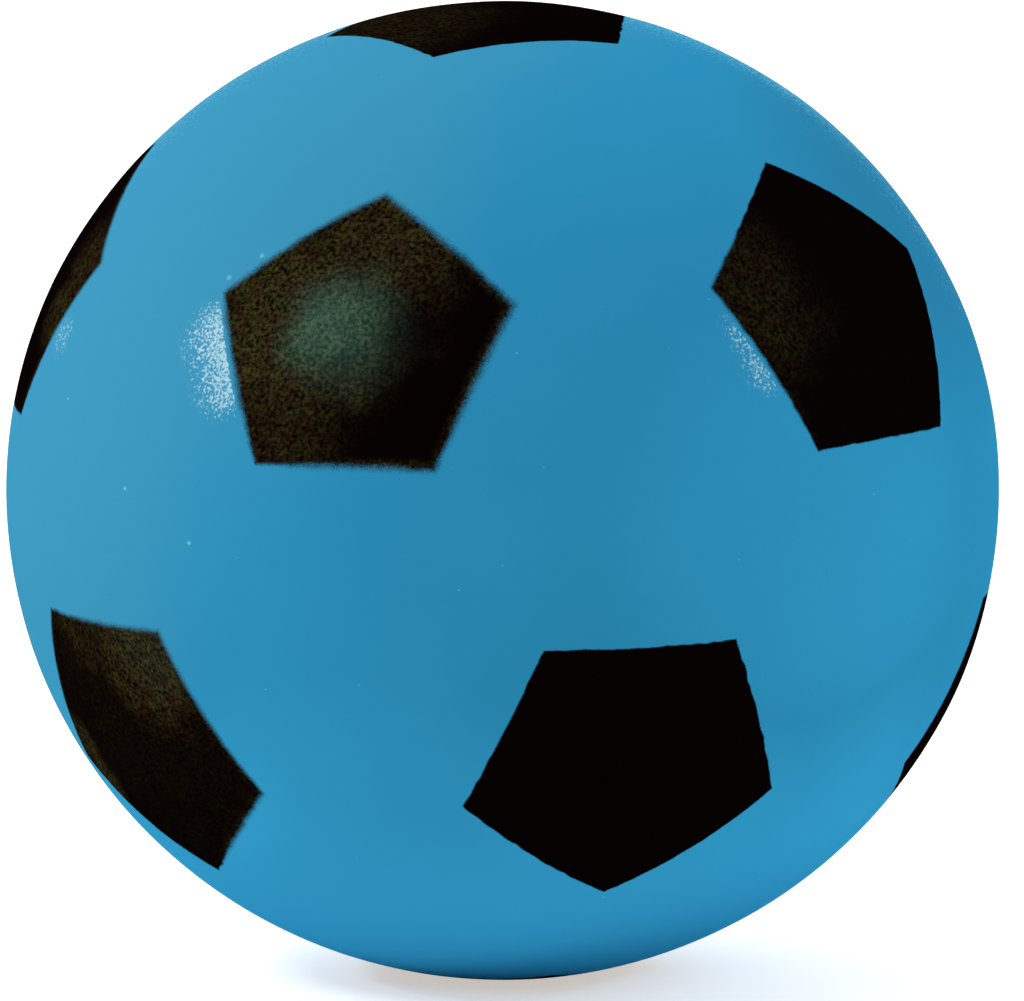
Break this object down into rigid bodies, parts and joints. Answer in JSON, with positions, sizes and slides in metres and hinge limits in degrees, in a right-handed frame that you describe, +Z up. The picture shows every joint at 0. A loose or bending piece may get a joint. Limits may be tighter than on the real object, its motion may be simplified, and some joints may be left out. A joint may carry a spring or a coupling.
{
  "type": "soft play ball",
  "caption": "Round soft foam play ball with an elastic blue skin and flush black five-sided patches, for throwing, kicking and catching indoors.",
  "frame": {"origin": "centre of the ball", "axes": "+Z up through the middle of the top patch, -Y through the middle line of the upper patch that faces forward, floor below at -Z"},
  "size_m": [0.2, 0.2, 0.1965],
  "materials": {
    "blue_skin": "satin",
    "black_patch": "matte",
    "foam": "matte"
  },
  "bodies": {
    "root": {"blue_skin": "blue_skin", "foam_core": "foam", "top_pentagon": "black_patch", "upper_pentagon_1": "black_patch", "upper_pentagon_2": "black_patch", "upper_pentagon_3": "black_patch", "upper_pentagon_4": "black_patch", "upper_pentagon_5": "black_patch", "lower_pentagon_1": "black_patch", "lower_pentagon_2": "black_patch", "lower_pentagon_3": "black_patch", "lower_pentagon_4": "black_patch", "lower_pentagon_5": "black_patch", "bottom_pentagon": "black_patch"}
  },
  "joints": []
}
